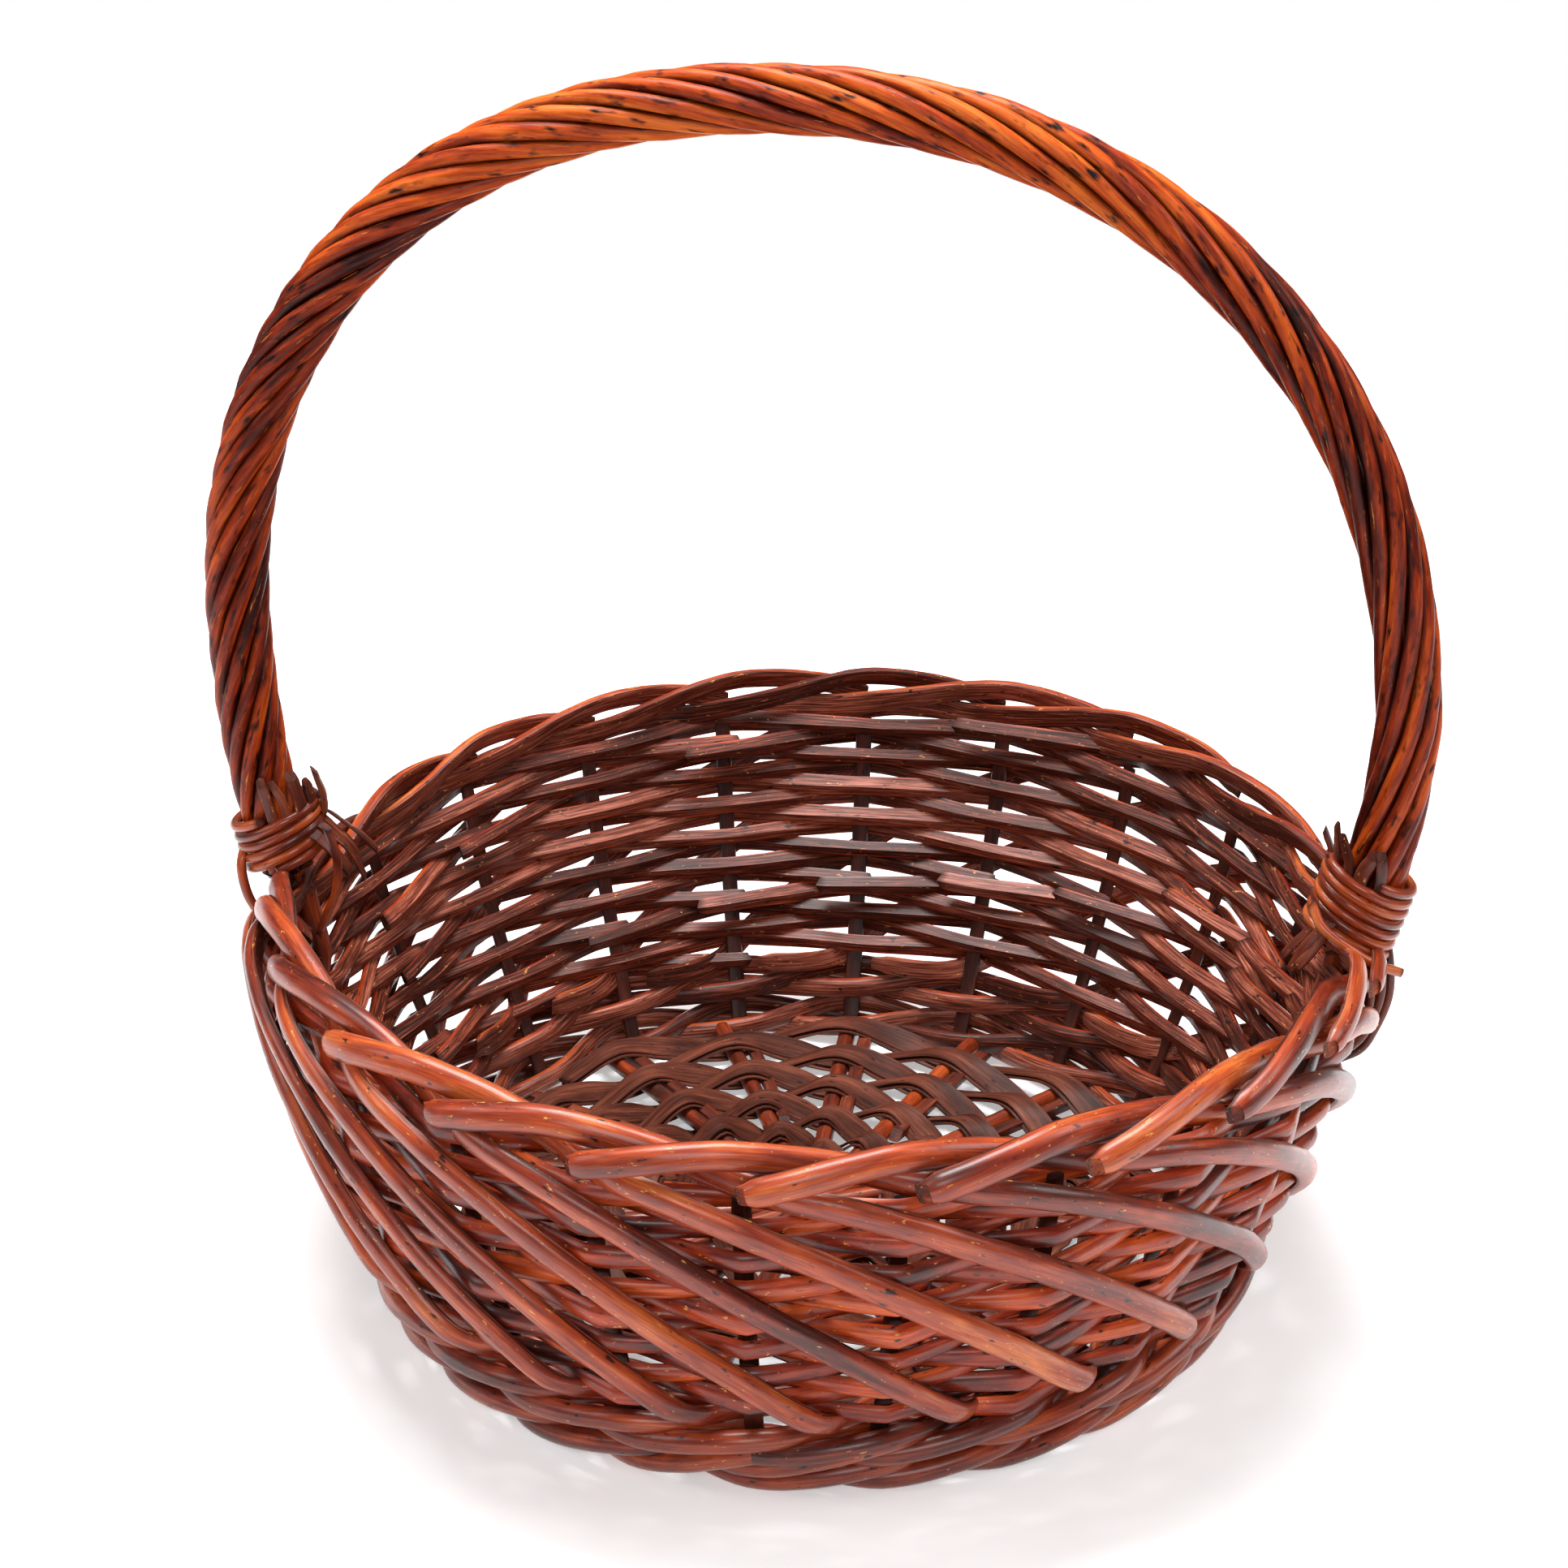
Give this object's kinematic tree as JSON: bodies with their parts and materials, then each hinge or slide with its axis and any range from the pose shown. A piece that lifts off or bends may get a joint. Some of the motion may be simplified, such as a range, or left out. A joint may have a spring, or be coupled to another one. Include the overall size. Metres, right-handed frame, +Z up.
{
  "type": "wicker basket",
  "caption": "Round woven willow basket with a flared bowl, a thick rolled rim, a flat woven base and one fixed arched handle of twisted rods bound at both feet.",
  "frame": {"origin": "centre of the whole basket's bounding box, on the floor that it stands on", "axes": "+Z up, +X across the basket in the plane of the handle, -Y towards the front"},
  "size_m": [0.4479, 0.4366, 0.4565],
  "materials": {
    "willow_stake": "matt brown willow splits",
    "willow_foot": "varnished dark red-brown rods",
    "willow_wall": "varnished outside, dull brown pith inside",
    "willow_border": "glossy red-brown bark",
    "willow_base_stick": "satin orange-brown rods",
    "willow_base_split": "dull dark brown splits",
    "willow_core": "satin red-brown bow",
    "willow_handle": "glossy orange-brown rods",
    "willow_binding": "glossy red-brown thin rods"
  },
  "bodies": {
    "root": {"stake_01": "willow_stake", "stake_02": "willow_stake", "stake_03": "willow_stake", "stake_04": "willow_stake", "stake_05": "willow_stake", "stake_06": "willow_stake", "stake_07": "willow_stake", "stake_08": "willow_stake", "stake_09": "willow_stake", "stake_10": "willow_stake", "stake_11": "willow_stake", "stake_12": "willow_stake", "stake_13": "willow_stake", "stake_14": "willow_stake", "stake_15": "willow_stake", "stake_16": "willow_stake", "stake_17": "willow_stake", "stake_18": "willow_stake", "stake_19": "willow_stake", "stake_20": "willow_stake", "stake_21": "willow_stake", "stake_22": "willow_stake", "foot_wale": "willow_foot", "weaver_a": "willow_wall", "weaver_b": "willow_wall", "border_rod_01": "willow_border", "border_rod_02": "willow_border", "border_rod_03": "willow_border", "border_rod_04": "willow_border", "border_rod_05": "willow_border", "border_rod_06": "willow_border", "border_rod_07": "willow_border", "border_rod_08": "willow_border", "border_rod_09": "willow_border", "border_rod_10": "willow_border", "border_rod_11": "willow_border", "border_rod_12": "willow_border", "border_rod_13": "willow_border", "border_rod_14": "willow_border", "border_rod_15": "willow_border", "border_rod_16": "willow_border", "border_rod_17": "willow_border", "border_rod_18": "willow_border", "border_rod_19": "willow_border", "border_rod_20": "willow_border", "border_rod_21": "willow_border", "border_rod_22": "willow_border", "base_sticks": "willow_base_stick", "base_weaver": "willow_base_split", "handle_core": "willow_core", "handle_rod_1": "willow_handle", "handle_rod_2": "willow_handle", "handle_rod_3": "willow_handle", "handle_rod_4": "willow_handle", "handle_rod_5": "willow_handle", "handle_rod_6": "willow_handle", "handle_rod_7": "willow_handle", "handle_rod_8": "willow_handle", "binding_left": "willow_binding", "binding_right": "willow_binding"}
  },
  "joints": []
}
